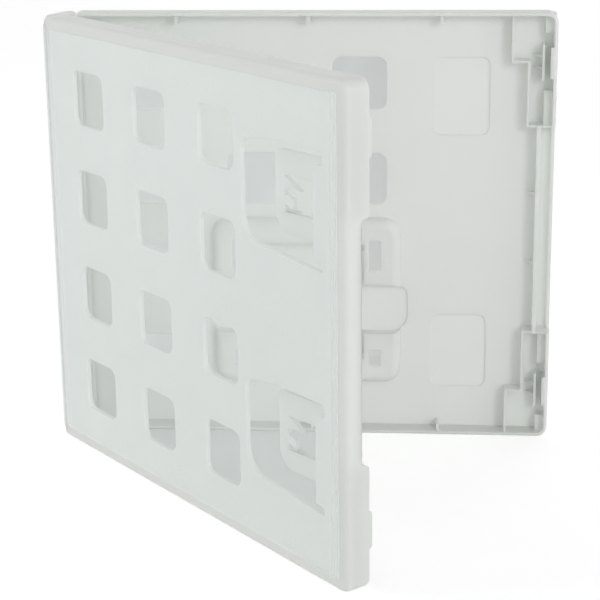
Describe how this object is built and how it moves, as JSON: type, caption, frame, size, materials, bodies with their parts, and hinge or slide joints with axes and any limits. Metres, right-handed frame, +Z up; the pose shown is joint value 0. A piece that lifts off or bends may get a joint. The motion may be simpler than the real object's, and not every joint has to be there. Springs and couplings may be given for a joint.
{
  "type": "game cartridge case",
  "caption": "White moulded hinged case for a small game card, with windowed covers, booklet clips, a card holder, snap latches and a clear outer film, standing open.",
  "frame": {"origin": "centre of the footprint of the open case, on the surface that it stands on", "axes": "+Z up along the hinges; +X along the back cover from its hinge to its free edge; the inside of the back cover faces -Y"},
  "size_m": [0.1432, 0.1142, 0.125],
  "materials": {
    "moulded_plastic": "satin white polypropylene, slightly translucent",
    "clear_film": "clear glossy film"
  },
  "bodies": {
    "back_cover": {"back_cover": "moulded_plastic", "film_back": "clear_film"},
    "spine": {"spine": "moulded_plastic", "film_spine": "clear_film"},
    "front_cover": {"front_cover": "moulded_plastic", "film_front": "clear_film"}
  },
  "joints": [
    {"name": "back_hinge", "type": "hinge", "parent": "back_cover", "child": "spine", "pos_m": [-0.0648, 0.05631, 0.0625], "axis": [0, 0, -1], "range_deg": [-28, 62]},
    {"name": "front_hinge", "type": "hinge", "parent": "spine", "child": "front_cover", "pos_m": [-0.07095, 0.04474, 0.0625], "axis": [0, 0, -1], "range_deg": [-20.4, 69.6]}
  ]
}
